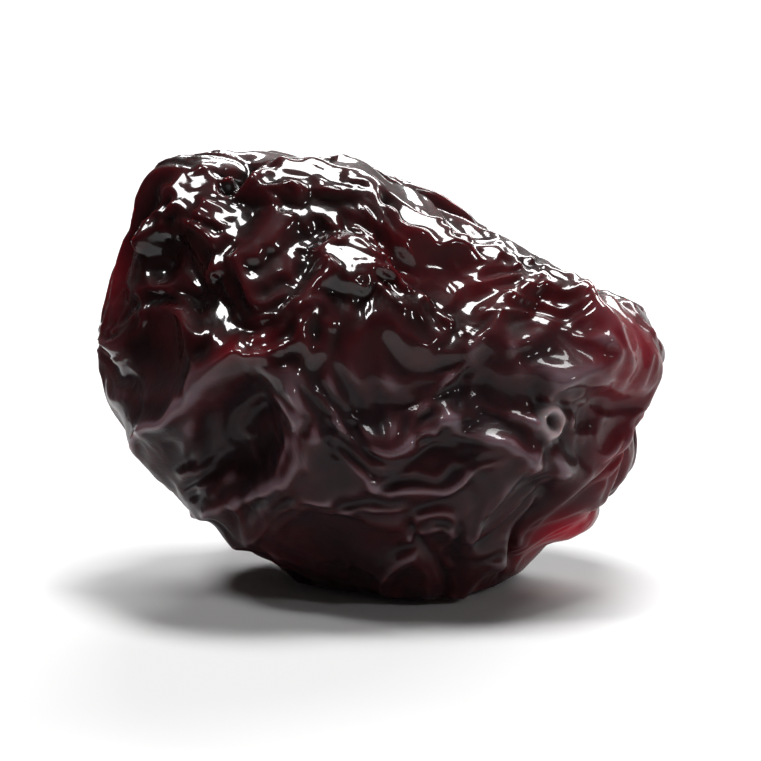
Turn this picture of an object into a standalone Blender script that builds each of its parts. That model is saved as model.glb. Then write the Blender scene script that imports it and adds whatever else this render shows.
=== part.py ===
"""Dried dark sweet cherry: one plump, pitted, wrinkled fruit that lies on a small flattened spot.

The skin is a function of direction. A smooth body is worked out first in the facing frame: X to the
right, Y away from the eye and Z up, as the fruit is seen face on. Bowls, ridges, pleats and folds then
move the skin in and out along the body's own normal. At the end the fruit is tipped back to how it lies.
It sags a little near the floor, as soft fruit does under its own weight, and is pressed flat on it.
"""

import math

import bmesh
import bpy
import numpy as np

MM = 0.001

# Driving dimensions of the whole fruit.
LENGTH = 19.0 * MM
PULLED_IN = 0.15 * MM  # how far the folds draw the two ends in
HALF_LENGTH = LENGTH / 2 + PULLED_IN
HALF_DEPTH = 6.6 * MM
FOOT_DROP = 6.75 * MM  # from the middle of the body down to the floor
TIP_BACK = math.radians(13.0)  # how far the face of the fruit looks up

# The face's outline, as degrees round from the right and the radius there as a share of half the length.
# The right end is a blunt lobe, the top falls straight to it, and the left shoulder is nearly square.
OUTLINE = (
    (4, 0.99), (15, 0.93), (24, 0.76), (34, 0.67), (47, 0.62), (61, 0.61), (78, 0.66), (98, 0.75),
    (113, 0.85), (126, 0.98), (136, 1.05), (146, 1.00), (159, 0.96), (171, 0.96), (182, 0.96),
    (193, 0.89), (206, 0.83), (221, 0.77), (239, 0.72), (257, 0.73), (273, 0.77), (287, 0.82),
    (301, 0.81), (315, 0.81), (329, 0.88), (343, 0.92), (354, 0.89),
)
SHOULDER = 0.92  # under 1 makes the body fuller than an ellipsoid towards its rim
DOME = 0.96  # under 1 makes the front and the back a little flatter in their middles
NORMAL_STEP = 0.04  # in radians, wide enough to pass over the small kinks of the outline
NEAR_POLE = 0.9  # directions with more than this share of Y take their steps from X instead
RIM_LEAST = 0.1  # places near the outline lie at least this share of the half depth from its plane

# The foot is a four-cornered flat spot under the middle of the weight. Its corners go anticlockwise round
# it, as seen from above, and are the only points outside it that touch the floor.
FOOT_CORNERS = ((-2.4, 1.6), (-2.4, -1.6), (2.4, -3.1), (2.2, 3.3))
FOOT_DRAWN_IN = 0.35 * MM  # the flat spot's sides lie this far inside the lines between its corners
FOOT_LIFT = 0.22 * MM  # the skin around the flat spot stays about this far off the floor
FOOT_EDGE = 0.30 * MM  # within this distance of the flat spot it rises most of the way
SAG = 0.45 * MM
SAG_REACH = 0.90 * MM  # how high over the floor the skin still sags noticeably

# Bowls in the skin. Each has its place across and up the face, its radius, its depth, how much longer
# than wide it is, and the turn of its long side in degrees.
FRONT_BOWLS = (
    (-4.5 * MM, -1.7 * MM, 2.1 * MM, 0.90 * MM, 1.0, 0),
    (-0.7 * MM, 0.3 * MM, 1.6 * MM, 0.45 * MM, 1.4, 60),
    (3.3 * MM, 0.2 * MM, 2.2 * MM, 0.55 * MM, 1.5, -15),
    (2.0 * MM, -2.7 * MM, 1.7 * MM, 0.35 * MM, 1.6, 5),
    (6.2 * MM, 1.3 * MM, 1.4 * MM, 0.60 * MM, 1.2, 80),
    (6.9 * MM, -1.2 * MM, 1.4 * MM, 0.55 * MM, 1.3, 40),
    (1.9 * MM, 3.3 * MM, 1.4 * MM, 0.55 * MM, 2.8, -28),
    (-4.4 * MM, 7.0 * MM, 1.1 * MM, 0.60 * MM, 1.0, 0),
    (-2.3 * MM, 3.9 * MM, 1.4 * MM, 0.50 * MM, 1.5, 60),
    (-6.8 * MM, 3.0 * MM, 1.7 * MM, 0.55 * MM, 1.2, 20),
    (-5.2 * MM, 5.3 * MM, 1.3 * MM, 0.50 * MM, 1.2, 0),
    (1.0 * MM, -5.6 * MM, 2.4 * MM, 0.40 * MM, 1.6, 0),
    (-5.8 * MM, -4.9 * MM, 2.2 * MM, 0.40 * MM, 1.6, -50),
    (7.4 * MM, -3.6 * MM, 1.5 * MM, 0.50 * MM, 1.2, 50),
    (-8.3 * MM, 0.4 * MM, 1.5 * MM, 0.45 * MM, 1.5, 80),
)
BACK_BOWLS = (
    (-3.0 * MM, 1.5 * MM, 3.6 * MM, 1.50 * MM, 1.4, 25),
    (4.6 * MM, -0.5 * MM, 2.8 * MM, 1.00 * MM, 1.3, -40),
)
BOWL_RIM = 0.12  # how softly a bowl's wall turns into its rim
BOWL_REACH = 1.15  # how far a bowl reaches in depth, as a share of its radius

# Small bowls scattered over the sides and the back, by a golden spiral.
SMALL_BOWLS = 26
SMALL_BOWL_SEED = 5
SMALL_BOWL_STRAY = 0.12
SMALL_BOWL_RADIUS = (1.5 * MM, 2.6 * MM)
SMALL_BOWL_DEPTH_SHARE = (0.22, 0.36)
SMALL_BOWL_STRETCH = 0.5
SMALL_BOWLS_BEHIND = 1.0 * MM  # the scattered bowls have their middles behind this depth

# The round raised rim of the bowl at the lower left of the face.
RING_PLACE = (-4.45 * MM, -1.6 * MM)
RING_RADIUS = 2.05 * MM
RING_HEIGHT = 0.62 * MM

# Ridges where the shrunk skin of the face stands up. Each has its height, then its places across and up
# the face in millimetres. A height below zero is a crease.
FACE_RIDGES = (
    (0.65 * MM, ((-3.4, 6.2), (-0.7, 6.2), (1.4, 5.2), (4.4, 3.6), (7.1, 2.4))),
    (0.35 * MM, ((-6.2, 1.0), (-4.6, 1.2), (-3.0, 1.6), (-1.9, 2.5), (0.0, 2.7))),
    (0.50 * MM, ((-0.6, -2.3), (0.7, -3.4), (2.1, -3.7), (3.6, -3.5), (4.7, -2.9), (5.3, -2.2))),
    (0.35 * MM, ((0.1, -0.6), (1.5, -1.0), (2.8, -1.6), (3.9, -2.1))),
    (0.30 * MM, ((-0.9, -0.2), (0.2, -1.7), (1.7, -2.5), (3.5, -2.6), (4.9, -1.5))),
    (0.35 * MM, ((-2.6, 1.0), (-1.9, -0.7), (-1.6, -1.8), (-2.3, -3.1))),
    (0.30 * MM, ((-0.9, 1.2), (0.8, 1.6), (2.3, 1.4), (4.0, 1.9), (5.6, 2.4))),
    (0.50 * MM, ((5.6, 2.4), (6.9, 2.1), (7.4, 1.1), (6.7, -0.1), (5.4, -1.2), (4.8, -2.4))),
    (0.40 * MM, ((-2.4, -3.3), (-3.4, -4.6), (-4.9, -5.3))),
    (0.35 * MM, ((-2.2, -3.4), (-0.6, -4.6), (1.4, -5.0), (3.4, -4.9))),
    (0.35 * MM, ((6.9, -0.3), (8.2, -0.4))),
    (0.40 * MM, ((-7.2, 6.3), (-7.5, 5.0), (-8.2, 3.2), (-8.7, 1.6))),
    (0.35 * MM, ((-5.9, 6.6), (-4.9, 4.6), (-3.9, 3.2), (-3.4, 1.9))),
    (-0.60 * MM, ((5.3, -3.7), (5.4, -4.9), (5.3, -6.3))),
    (-0.60 * MM, ((-4.5, 7.7), (-4.3, 6.4))),
)
RIDGE_CREST = 0.15 * MM
RIDGE_FLANK = 0.55 * MM
FACE_EDGE = -1.6 * MM  # the ridges and the quieter folding of the face end at this depth
FACE_EDGE_BLUR = 0.70 * MM
FACE_FOLDING = 0.55  # how much of the random folding the face keeps beside its own ridges
TALLEST = 0.70 * MM  # where ridges and folds meet they add up to no more than this
TALLEST_BLUR = 0.10 * MM

# The stem scar: a pit with pleats that run into it.
SCAR_PLACE = (5.7 * MM, -1.8 * MM)
SCAR_RADIUS = 0.7 * MM
SCAR_DEPTH = 0.65 * MM
PLEATS = 5
PLEAT_RING = 1.4 * MM
PLEAT_REACH = 0.9 * MM
PLEAT_HEIGHT = 0.22 * MM
PLEAT_CREST = 0.15
PLEAT_LEVEL = 0.40
PLEAT_WANDER = (0.5, 5.0 * MM, 121)  # how far the pleats stray, the wavelength of that and its seed

# Random fields are sums of plane waves in seeded directions.
WAVE_COUNT = 16
WAVELENGTH_SPREAD = (0.75, 1.25)
# Each field has its wavelength and its seed.
FOLD_WAVES = (4.0 * MM, 51)
PLUMP_WAVES = (11.0 * MM, 33)
TERRACE_WAVES = (3.6 * MM, 61)
# Meanders that what is drawn on the skin follows, each with its wavelength, its push and its seed.
LARGE_MEANDER = (7.0 * MM, 0.50 * MM, 11)
SMALL_MEANDER = (3.2 * MM, 0.22 * MM, 21)
FOLD_MEANDER = (3.4 * MM, 0.30 * MM, 41)

# The random folds: their height, and how long and which way their long side runs.
FOLD_HEIGHT = 0.34 * MM
FOLD_STRETCH = 1.7
FOLD_TURN = -18
SHRUNK_CREST = 0.20  # how round a crest between two shrunk hollows is
SHRUNK_LEVEL = 0.30
SWOLLEN_CREASE = 0.26  # how round a crease between two plump swellings is
SWOLLEN_LEVEL = 0.35
PLUMP_EDGE = 2.0  # how sharply shrunk skin turns into plump skin
PLUMP_MIDDLE = -1.0 * MM
PLUMP_RISE_RIGHT = 0.12 / MM  # the fruit is plumper to the right and lower down
PLUMP_RISE_DOWN = 0.08 / MM

# Fine folds of the crumpled skin at the upper left.
CRUMPLE_PLACE = (-5.4 * MM, -4.5 * MM, 4.2 * MM)
CRUMPLE_REACH = 3.2 * MM
CRUMPLE_WAVES = (2.2 * MM, 81)
CRUMPLE_HEIGHT = 0.20 * MM

# Terraces: soft folds that follow the bowls' walls round.
TERRACE_STEP = 0.5 * MM
TERRACE_HEIGHT = 0.10 * MM
TERRACE_WANDER = 0.5
TERRACE_CREST = 0.15
TERRACE_LEVEL = 0.4

GRID = 31  # quads along an edge of the cube that the skin's grid is wrapped from
GRID_SMOOTHING = 0.3  # how far each point of the grid moves to the middle of its neighbours, once

SKIN_COLOUR = (0.045, 0.006, 0.006, 1.0)
SKIN_ROUGHNESS = 0.22


def clear_scene():
    """Takes everything out of the scene."""
    for item in list(bpy.data.objects):
        bpy.data.objects.remove(item)


def periodic_curve(angles, values, at):
    """A smooth closed curve through values at the given angles, read at other angles (a Catmull-Rom)."""
    turn = 2 * np.pi
    angle = np.concatenate([[angles[-1] - turn], angles, [angles[0] + turn, angles[1] + turn]])
    value = np.concatenate([[values[-1]], values, [values[0], values[1]]])
    at = np.mod(at - angles[0], turn) + angles[0]
    k = np.clip(np.searchsorted(angle, at, side="right") - 1, 1, len(angles))
    width = angle[k + 1] - angle[k]
    t = (at - angle[k]) / width
    start = (value[k + 1] - value[k - 1]) / (angle[k + 1] - angle[k - 1]) * width
    end = (value[k + 2] - value[k]) / (angle[k + 2] - angle[k]) * width
    return (
        (2 * t**3 - 3 * t**2 + 1) * value[k]
        + (t**3 - 2 * t**2 + t) * start
        + (3 * t**2 - 2 * t**3) * value[k + 1]
        + (t**3 - t**2) * end
    )


def outline_radius(turn):
    """How far the face's outline is from the middle, in the directions turn round from the right."""
    degrees, shares = np.array(OUTLINE, float).T
    return HALF_LENGTH * periodic_curve(np.radians(degrees), shares, turn)


def body(directions):
    """The smooth fruit under its wrinkles: its outline in the face's plane, domed to the front and back."""
    across, away, up = directions.T
    turn = np.arctan2(up, across)
    reach = outline_radius(turn) * np.hypot(across, up) ** SHOULDER
    depth = HALF_DEPTH * np.sign(away) * np.abs(away) ** DOME
    return np.stack([reach * np.cos(turn), depth, reach * np.sin(turn)], axis=1)


def unit(vectors):
    """The vectors at length 1."""
    return vectors / np.linalg.norm(vectors, axis=1)[:, None]


def body_normals(directions):
    """Outward directions of the smooth body: square to two small steps over it."""
    near_pole = np.abs(directions[:, 1:2]) > NEAR_POLE
    helper = np.where(near_pole, np.array([[1.0, 0, 0]]), np.array([[0, 1.0, 0]]))
    beside = unit(np.cross(helper, directions)) * NORMAL_STEP
    above = np.cross(directions, beside)
    step_beside = body(unit(directions + beside)) - body(unit(directions - beside))
    step_above = body(unit(directions + above)) - body(unit(directions - above))
    return unit(np.cross(step_beside, step_above))


def on_face(across, up, side):
    """The point of the body's front (side -1) or back (side 1) at a place across and up the face."""
    share = math.hypot(across, up) / outline_radius(np.array([math.atan2(up, across)]))[0]
    away = math.sqrt(max(1 - share ** (2 / SHOULDER), RIM_LEAST**2))
    return np.array([across, side * HALF_DEPTH * away**DOME, up])


def waves(points, length, seed):
    """A random field of about one wavelength: the sum of plane waves in seeded directions."""
    draw = np.random.default_rng(seed)
    directions = draw.normal(size=(WAVE_COUNT, 3))
    directions = unit(directions)
    rates = 2 * np.pi / (length * draw.uniform(*WAVELENGTH_SPREAD, WAVE_COUNT))
    phases = draw.uniform(0, 2 * np.pi, WAVE_COUNT)
    field = np.zeros(len(points))
    for direction, rate, phase in zip(directions, rates, phases):
        field += np.cos(points @ (direction * rate) + phase)
    return field * math.sqrt(2 / WAVE_COUNT)


def warped(points, length, amount, seed):
    """The points pushed about by up to a few times amount, so that what is drawn on them meanders."""
    push = np.stack([waves(points, length, seed + axis) for axis in range(3)], axis=1)
    return points + amount * push


def along_grain(points, stretch, turn_deg):
    """The points squeezed along a line in the face, so that what is drawn on them runs long that way."""
    cos, sin = math.cos(math.radians(turn_deg)), math.sin(math.radians(turn_deg))
    along = (points[:, 0] * cos + points[:, 2] * sin) / stretch
    across = points[:, 2] * cos - points[:, 0] * sin
    return np.stack([along, points[:, 1], across], axis=1)


def crest(field, softness):
    """1 where the field crosses zero, as a sharp crest of that softness, and falling away on both sides."""
    return 1 - np.sqrt(field**2 + softness**2)


def soft_step_up(values, softness):
    """The values where they are above zero, and zero below, with a soft turn between."""
    return softness * np.logaddexp(0, values / softness)


def in_front(points):
    """1 on the face of the fruit and 0 on its sides and back, with a blurred edge between."""
    return 1 / (1 + np.exp((points[:, 1] - FACE_EDGE) / FACE_EDGE_BLUR))


def face_bowls(points, bowls, side):
    """How far the stated bowls press the skin in."""
    height = np.zeros(len(points))
    for across, up, radius, depth, stretch, turn_deg in bowls:
        from_middle = points - on_face(across, up, side)
        cos, sin = math.cos(math.radians(turn_deg)), math.sin(math.radians(turn_deg))
        along = (from_middle[:, 0] * cos + from_middle[:, 2] * sin) / (radius * stretch)
        beside = (from_middle[:, 2] * cos - from_middle[:, 0] * sin) / radius
        inward = from_middle[:, 1] / (radius * BOWL_REACH)
        height -= depth * soft_step_up(1 - along**2 - beside**2 - inward**2, BOWL_RIM)
    return height


def scattered_bowls(points):
    """How far the small bowls of the sides and the back press the skin in."""
    draw = np.random.default_rng(SMALL_BOWL_SEED)
    step = np.arange(SMALL_BOWLS) + 0.5
    level = 1 - 2 * step / SMALL_BOWLS
    ring = np.sqrt(1 - level**2)
    turn = step * np.pi * (1 + 5**0.5)
    directions = np.stack([ring * np.cos(turn), level, ring * np.sin(turn)], axis=1)
    directions = unit(directions + draw.normal(scale=SMALL_BOWL_STRAY, size=directions.shape))
    radii = draw.uniform(*SMALL_BOWL_RADIUS, SMALL_BOWLS)
    depths = radii * draw.uniform(*SMALL_BOWL_DEPTH_SHARE, SMALL_BOWLS)
    long_ways = unit(draw.normal(size=directions.shape))
    height = np.zeros(len(points))
    for middle, radius, depth, long_way in zip(body(directions), radii, depths, long_ways):
        if middle[1] < SMALL_BOWLS_BEHIND:
            continue
        from_middle = points - middle
        spread = (from_middle**2).sum(axis=1) - SMALL_BOWL_STRETCH * (from_middle @ long_way) ** 2
        height -= depth * soft_step_up(1 - spread / radius**2, BOWL_RIM)
    return height


def from_line(places, points):
    """How far the points lie from a line through the places, all of them in the face's plane."""
    nearest = np.full(len(points), np.inf)
    for start, end in zip(places[:-1], places[1:]):
        step = end - start
        share = np.clip((points - start) @ step / (step @ step), 0, 1)
        nearest = np.minimum(nearest, np.linalg.norm(points - start - share[:, None] * step, axis=1))
    return nearest


def ridge(aside):
    """1 on a ridge's rounded crest, with hollow flanks that die away on both sides."""
    return np.exp((RIDGE_CREST - np.hypot(aside, RIDGE_CREST)) / RIDGE_FLANK)


def face_ridges(points):
    """How far the ring round the left bowl and the stated ridges of the face stand up."""
    on_plane = points[:, [0, 2]]
    from_ring = np.linalg.norm(on_plane - np.array(RING_PLACE), axis=1) - RING_RADIUS
    height = RING_HEIGHT * ridge(from_ring)
    for rise, places in FACE_RIDGES:
        height += rise * ridge(from_line(np.array(places) * MM, on_plane))
    return height * in_front(points)


def stem_scar(points):
    """The pit of the stem scar and the pleats that run into it."""
    from_scar = points - on_face(*SCAR_PLACE, -1)
    distance = np.linalg.norm(from_scar, axis=1)
    turn = np.arctan2(from_scar[:, 2], from_scar[:, 0])
    wander, length, seed = PLEAT_WANDER
    pleats = crest(np.sin(PLEATS / 2 * turn + wander * waves(points, length, seed)), PLEAT_CREST)
    pit = -SCAR_DEPTH * np.exp(-((distance / SCAR_RADIUS) ** 2))
    beside_ring = (distance - PLEAT_RING) / PLEAT_REACH
    return pit + PLEAT_HEIGHT * (pleats - PLEAT_LEVEL) * np.exp(-(beside_ring**2))


def plumpness(points):
    """0 where the skin has shrunk to sharp crests, 1 where it still swells between narrow creases."""
    lean = PLUMP_RISE_RIGHT * (points[:, 0] - PLUMP_MIDDLE) - PLUMP_RISE_DOWN * points[:, 2]
    return 0.5 + 0.5 * np.tanh(PLUMP_EDGE * (waves(points, *PLUMP_WAVES) + lean))


def folded(field, plump):
    """A fold profile: crests between hollows where the skin has shrunk, creases between swellings else."""
    shrunk = crest(field, SHRUNK_CREST) - SHRUNK_LEVEL
    swollen = SWOLLEN_LEVEL - crest(field, SWOLLEN_CREASE)
    return shrunk * (1 - plump) + swollen * plump


def relief(points):
    """How far the skin stands out from the body, in metres, at points of the body."""
    loose = warped(warped(points, *LARGE_MEANDER), *SMALL_MEANDER)
    bowls = face_bowls(loose, FRONT_BOWLS, -1) + face_bowls(loose, BACK_BOWLS, 1) + scattered_bowls(loose)
    grain = along_grain(warped(loose, *FOLD_MEANDER), FOLD_STRETCH, FOLD_TURN)
    plump = plumpness(points)
    quiet = 1 - (1 - FACE_FOLDING) * in_front(points)
    folds = FOLD_HEIGHT * quiet * folded(waves(grain, *FOLD_WAVES), plump)
    from_crumple = ((points - np.array(CRUMPLE_PLACE)) ** 2).sum(axis=1) / CRUMPLE_REACH**2
    crumple = CRUMPLE_HEIGHT * np.exp(-from_crumple) * folded(waves(grain, *CRUMPLE_WAVES), plump)
    round_bowls = bowls / TERRACE_STEP + TERRACE_WANDER * waves(grain, *TERRACE_WAVES)
    terraces = TERRACE_HEIGHT * (crest(np.sin(np.pi * round_bowls), TERRACE_CREST) - TERRACE_LEVEL)
    standing = folds + crumple + face_ridges(loose)
    capped = TALLEST - soft_step_up(TALLEST - standing, TALLEST_BLUR)
    return bowls + terraces + capped + stem_scar(points)


def tipped_back(points):
    """The skin as the fruit lies, with the middle of its box over the origin."""
    cos, sin = math.cos(TIP_BACK), math.sin(TIP_BACK)
    x, away, up = points.T
    tipped = np.stack([x, away * cos + up * sin, up * cos - away * sin + FOOT_DROP], axis=1)
    middle = (tipped.min(axis=0) + tipped.max(axis=0)) / 2
    return tipped - np.array([middle[0], middle[1], 0])


def beyond_foot(points):
    """How far the points lie outside the four-cornered foot, as seen from above."""
    corners = np.array(FOOT_CORNERS) * MM
    beyond = np.full(len(points), -np.inf)
    for start, end in zip(corners, np.roll(corners, -1, axis=0)):
        along = (end - start) / np.linalg.norm(end - start)
        outward = np.array([along[1], -along[0]])
        beyond = np.maximum(beyond, (points[:, :2] - start) @ outward)
    return beyond


def set_down(points):
    """The skin sagged towards the floor at z = 0, flat on the foot and just off the floor around it."""
    x, y, z = points.T
    sagged = z - SAG * np.exp(-((z / SAG_REACH) ** 2))
    past_flat = np.maximum(beyond_foot(points) + FOOT_DRAWN_IN, 0)
    lowest = FOOT_LIFT * (1 - np.exp(-past_flat / FOOT_EDGE))
    return np.stack([x, y, np.maximum(sagged, lowest)], axis=1)


def with_corners(points):
    """The skin with its nearest points to the foot's corners brought to them."""
    cornered = points.copy()
    for corner in np.array(FOOT_CORNERS) * MM:
        aside = np.linalg.norm(points[:, :2] - corner, axis=1) + points[:, 2]
        cornered[aside.argmin()] = (*corner, 0)
    return cornered


def wrinkled(directions):
    """The skin in the given directions from the middle of the fruit, in the facing frame."""
    smooth = body(directions)
    return smooth + body_normals(directions) * relief(smooth)[:, None]


def wrapped_cube():
    """A closed cube mesh with GRID quads along each edge, as evenly spread directions."""
    mesh = bmesh.new()
    bmesh.ops.create_cube(mesh, size=2)
    bmesh.ops.subdivide_edges(mesh, edges=mesh.edges[:], cuts=GRID - 1, use_grid_fill=True)
    directions = np.tan(np.array([vertex.co for vertex in mesh.verts]) * math.pi / 4)
    return mesh, unit(directions)


def skin_material():
    """Dark, glossy, slightly sticky cherry skin."""
    material = bpy.data.materials.new("cherry_skin")
    material.use_nodes = True
    shader = material.node_tree.nodes["Principled BSDF"]
    shader.inputs["Base Color"].default_value = SKIN_COLOUR
    shader.inputs["Roughness"].default_value = SKIN_ROUGHNESS
    shader.inputs["Metallic"].default_value = 0.0
    material.diffuse_color = SKIN_COLOUR
    return material


def put_at(mesh, points):
    """Moves the mesh's vertices to the points."""
    for vertex, point in zip(mesh.verts, points):
        vertex.co = point


def make_cherry():
    """The one solid: the whole fruit, centred over the origin with its flat spot on the floor."""
    grid, directions = wrapped_cube()
    put_at(grid, wrinkled(directions))
    bmesh.ops.smooth_vert(
        grid, verts=grid.verts[:], factor=GRID_SMOOTHING, use_axis_x=True, use_axis_y=True, use_axis_z=True
    )
    points = tipped_back(np.array([vertex.co for vertex in grid.verts]))
    put_at(grid, with_corners(set_down(points)))
    bmesh.ops.recalc_face_normals(grid, faces=grid.faces[:])
    bmesh.ops.triangulate(grid, faces=grid.faces[:], quad_method="SHORT_EDGE")
    mesh = bpy.data.meshes.new("dried_cherry")
    grid.to_mesh(mesh)
    grid.free()
    mesh.shade_smooth()
    mesh.materials.append(skin_material())
    cherry = bpy.data.objects.new("dried_cherry", mesh)
    bpy.context.scene.collection.objects.link(cherry)
    return cherry


def main():
    """Builds the fruit in an empty scene."""
    clear_scene()
    make_cherry()


if __name__ == "__main__":
    main()
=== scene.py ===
"""Visual model of one dried dark sweet cherry, lying on a pale floor.

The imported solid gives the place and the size. Its skin is worked out here again on a finer grid, from the
same named sizes, and gets the fine wrinkles that the solid's few faces can't hold. The form is worked out
in millimetres in the facing frame, X to the right, Y away from the eye and Z up, as the fruit is seen face
on. It is then tipped back to how the fruit lies, and goes into the mesh in metres.
"""

from __future__ import annotations

import logging
import math
from dataclasses import dataclass
from enum import Enum

import bpy
import numpy as np
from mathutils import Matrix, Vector


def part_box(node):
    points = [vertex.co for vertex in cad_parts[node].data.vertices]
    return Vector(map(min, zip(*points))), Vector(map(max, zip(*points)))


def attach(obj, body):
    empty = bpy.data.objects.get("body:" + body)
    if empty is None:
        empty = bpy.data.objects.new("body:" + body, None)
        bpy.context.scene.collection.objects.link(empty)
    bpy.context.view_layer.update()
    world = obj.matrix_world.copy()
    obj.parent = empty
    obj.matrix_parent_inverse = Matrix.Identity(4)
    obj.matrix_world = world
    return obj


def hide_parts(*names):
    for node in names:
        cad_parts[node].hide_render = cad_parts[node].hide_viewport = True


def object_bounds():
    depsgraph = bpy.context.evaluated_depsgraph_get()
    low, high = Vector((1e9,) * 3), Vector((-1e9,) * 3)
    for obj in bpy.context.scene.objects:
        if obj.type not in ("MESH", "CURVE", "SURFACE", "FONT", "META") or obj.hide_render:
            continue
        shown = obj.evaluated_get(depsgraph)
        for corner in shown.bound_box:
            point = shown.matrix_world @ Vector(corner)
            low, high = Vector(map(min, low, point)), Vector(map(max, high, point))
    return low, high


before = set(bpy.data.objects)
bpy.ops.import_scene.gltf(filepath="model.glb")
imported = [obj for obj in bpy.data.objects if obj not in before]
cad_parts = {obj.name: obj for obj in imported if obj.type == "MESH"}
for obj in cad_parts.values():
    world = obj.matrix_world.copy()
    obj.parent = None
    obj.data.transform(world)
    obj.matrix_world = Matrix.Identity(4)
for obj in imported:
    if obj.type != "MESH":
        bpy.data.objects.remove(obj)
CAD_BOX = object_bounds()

LOG = logging.getLogger("dried_cherry")
MM = 0.001
NODE = "dried_cherry"


class Side(Enum):
    """The side of the fruit that a hollow lies on, as the sign of Y in the facing frame."""

    FRONT = -1
    BACK = 1


def unit(vectors: np.ndarray) -> np.ndarray:
    """Returns the vectors at length 1."""
    return vectors / np.linalg.norm(vectors, axis=1)[:, None]


def crest(values: np.ndarray, softness: float) -> np.ndarray:
    """Turns a field into crests along its zero lines.

    Formula: 1 minus the root of the field squared plus the softness squared.

    Args:
        values: The field.
        softness: How round the top of a crest is.

    Returns:
        About 1 on the zero lines, falling straight away on both sides.
    """
    return 1 - np.sqrt(values**2 + softness**2)


def soft_step_up(values: np.ndarray, softness: float) -> np.ndarray:
    """Cuts a field off below zero with a soft turn: softness times log(1 + exp(values / softness)).

    Args:
        values: The field.
        softness: How wide the turn at zero is.

    Returns:
        The values where they are above zero, and zero below.
    """
    return softness * np.logaddexp(0, values / softness)


def turned(points: np.ndarray, turn_deg: float) -> tuple[np.ndarray, np.ndarray]:
    """Reads points in axes that are turned in the face's plane.

    Args:
        points: Points in the facing frame.
        turn_deg: How far round the first axis is turned from X towards Z.

    Returns:
        How far the points lie along the turned axis, and beside it.
    """
    cos, sin = math.cos(math.radians(turn_deg)), math.sin(math.radians(turn_deg))
    return points[:, 0] * cos + points[:, 2] * sin, points[:, 2] * cos - points[:, 0] * sin


def to_linear(colour: str) -> tuple[float, float, float, float]:
    """Turns an sRGB hex colour, such as "#2a0c0d", into the linear values that shaders take.

    Args:
        colour: The colour as # and six hex digits.

    Returns:
        Linear red, green, blue, and an alpha of 1.
    """
    parts = [int(colour[k : k + 2], 16) / 255 for k in (1, 3, 5)]
    red, green, blue = (c / 12.92 if c <= 0.04045 else ((c + 0.055) / 1.055) ** 2.4 for c in parts)
    return red, green, blue, 1.0


def add_node(
    tree: bpy.types.NodeTree,
    kind: str,
    settings: dict[str, object] | None = None,
    values: dict[str | int, object] | None = None,
    links: dict[str | int, bpy.types.NodeSocket] | None = None,
) -> bpy.types.Node:
    """Adds one node with its settings, its sockets' values and what is linked into it.

    Args:
        tree: The node tree that takes the node.
        kind: The node's type without its ShaderNode prefix.
        settings: Properties of the node itself.
        values: What its input sockets are set to, by name or number.
        links: Output sockets of other nodes, by the name or number of the input that takes them.

    Returns:
        The new node.
    """
    node = tree.nodes.new("ShaderNode" + kind)
    for name, value in (settings or {}).items():
        setattr(node, name, value)
    for name, value in (values or {}).items():
        node.inputs[name].default_value = value
    for name, socket in (links or {}).items():
        tree.links.new(socket, node.inputs[name])
    return node


@dataclass(frozen=True)
class Waves:
    """A random field of about one wavelength, in millimetres.

    Formula: the sum of cosines along seeded directions, each with its own rate and phase, scaled so that
    the field's spread is about 1.
    """

    length: float
    seed: int
    count: int = 16
    spread: tuple[float, float] = (0.75, 1.25)

    def at(self, points: np.ndarray) -> np.ndarray:
        """Reads the field.

        Args:
            points: Where it is read, in millimetres.

        Returns:
            The field at each point, mostly between -2 and 2.
        """
        draw = np.random.default_rng(self.seed)
        directions = unit(draw.normal(size=(self.count, 3)))
        rates = 2 * np.pi / (self.length * draw.uniform(*self.spread, self.count))
        phases = draw.uniform(0, 2 * np.pi, self.count)
        total = np.zeros(len(points))
        for direction, rate, phase in zip(directions, rates, phases):
            total += np.cos(points @ (direction * rate) + phase)
        return total * math.sqrt(2 / self.count)


@dataclass(frozen=True)
class Meander:
    """Bends space a little, so that what is drawn in it wanders: each axis is pushed by its own waves."""

    length: float
    push: float
    seed: int

    def bend(self, points: np.ndarray) -> np.ndarray:
        """Returns the points pushed about."""
        pushes = [Waves(self.length, self.seed + axis).at(points) for axis in range(3)]
        return points + self.push * np.stack(pushes, axis=1)


@dataclass(frozen=True)
class Grain:
    """Squeezes space along a line in the face, so that what is drawn in it runs long that way."""

    stretch: float
    turn_deg: float

    def squeeze(self, points: np.ndarray) -> np.ndarray:
        """Returns the points, read along and beside the grain."""
        along, beside = turned(points, self.turn_deg)
        return np.stack([along / self.stretch, points[:, 1], beside], axis=1)


@dataclass(frozen=True)
class Bowl:
    """A hollow in the skin, in millimetres and degrees."""

    across: float
    up: float
    radius: float
    depth: float
    stretch: float = 1.0
    turn_deg: float = 0.0
    side: Side = Side.FRONT


@dataclass(frozen=True)
class Ridge:
    """A line across the face where the skin stands up, or a crease where its height is below zero."""

    height: float
    places: tuple[tuple[float, float], ...]

    def aside(self, points: np.ndarray) -> np.ndarray:
        """Measures how far points lie from the line, in the face's plane.

        Formula: the least distance to any of the straight pieces between its places.

        Args:
            points: Points in the facing frame.

        Returns:
            Distances in millimetres.
        """
        flat = points[:, [0, 2]]
        places = np.array(self.places)
        nearest = np.full(len(flat), np.inf)
        for start, end in zip(places[:-1], places[1:]):
            step = end - start
            share = np.clip((flat - start) @ step / (step @ step), 0, 1)
            nearest = np.minimum(nearest, np.linalg.norm(flat - start - share[:, None] * step, axis=1))
        return nearest


@dataclass(frozen=True)
class RidgeProfile:
    """How a ridge stands: a rounded crest, with hollow flanks that die away on both sides."""

    crest: float
    flank: float

    def rise(self, aside: np.ndarray) -> np.ndarray:
        """Returns 1 on the crest, and exp of minus the distance over the flank's width away from it."""
        return np.exp((self.crest - np.hypot(aside, self.crest)) / self.flank)


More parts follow.
